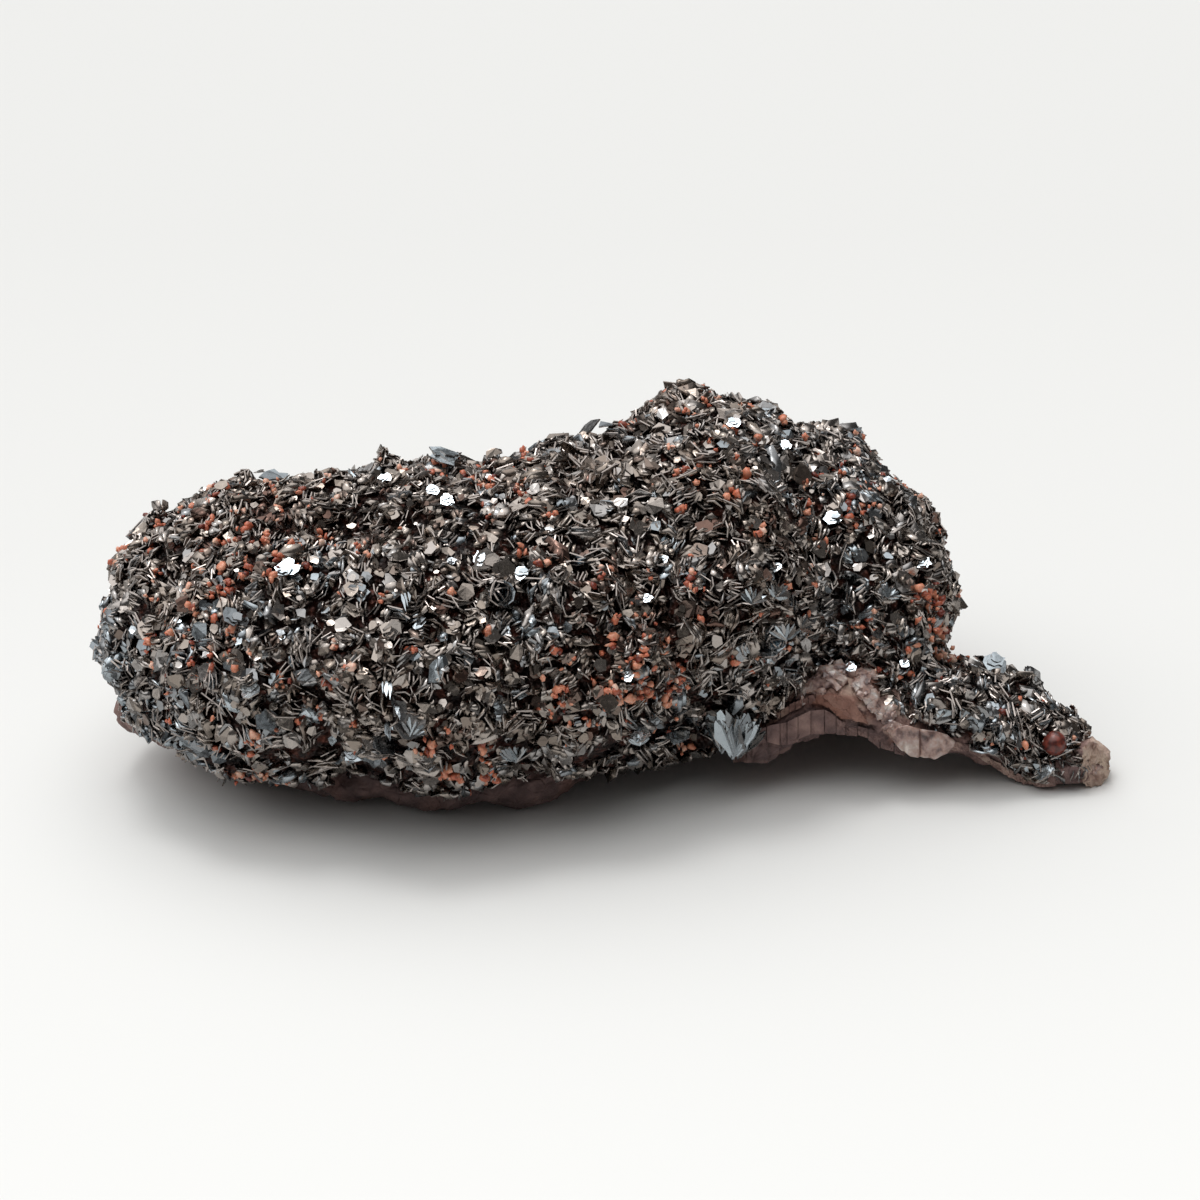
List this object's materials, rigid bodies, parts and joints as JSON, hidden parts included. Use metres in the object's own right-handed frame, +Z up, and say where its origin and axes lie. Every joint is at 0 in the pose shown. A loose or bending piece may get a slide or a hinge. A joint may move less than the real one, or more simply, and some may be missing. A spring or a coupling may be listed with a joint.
{
  "type": "specular hematite specimen",
  "caption": "Elongated lumpy mass of thin dark metallic hematite blades with orange-red quartz grains, on a brown host rock with an arched edge and a thin tail.",
  "frame": {"origin": "bottom centre of the bounding box, on the surface that the specimen stands on", "axes": "+X along the specimen from the round lobe to the thin tail, +Y to the back, +Z up"},
  "size_m": [0.092, 0.0482, 0.0317],
  "materials": {
    "host_rock": "dull rough brown rock",
    "hematite": "metallic splendent crystal faces, dark grey, with orange-red quartz grains between them"
  },
  "bodies": {
    "root": {"matrix": "host_rock", "hematite_crust": "hematite"}
  },
  "joints": []
}
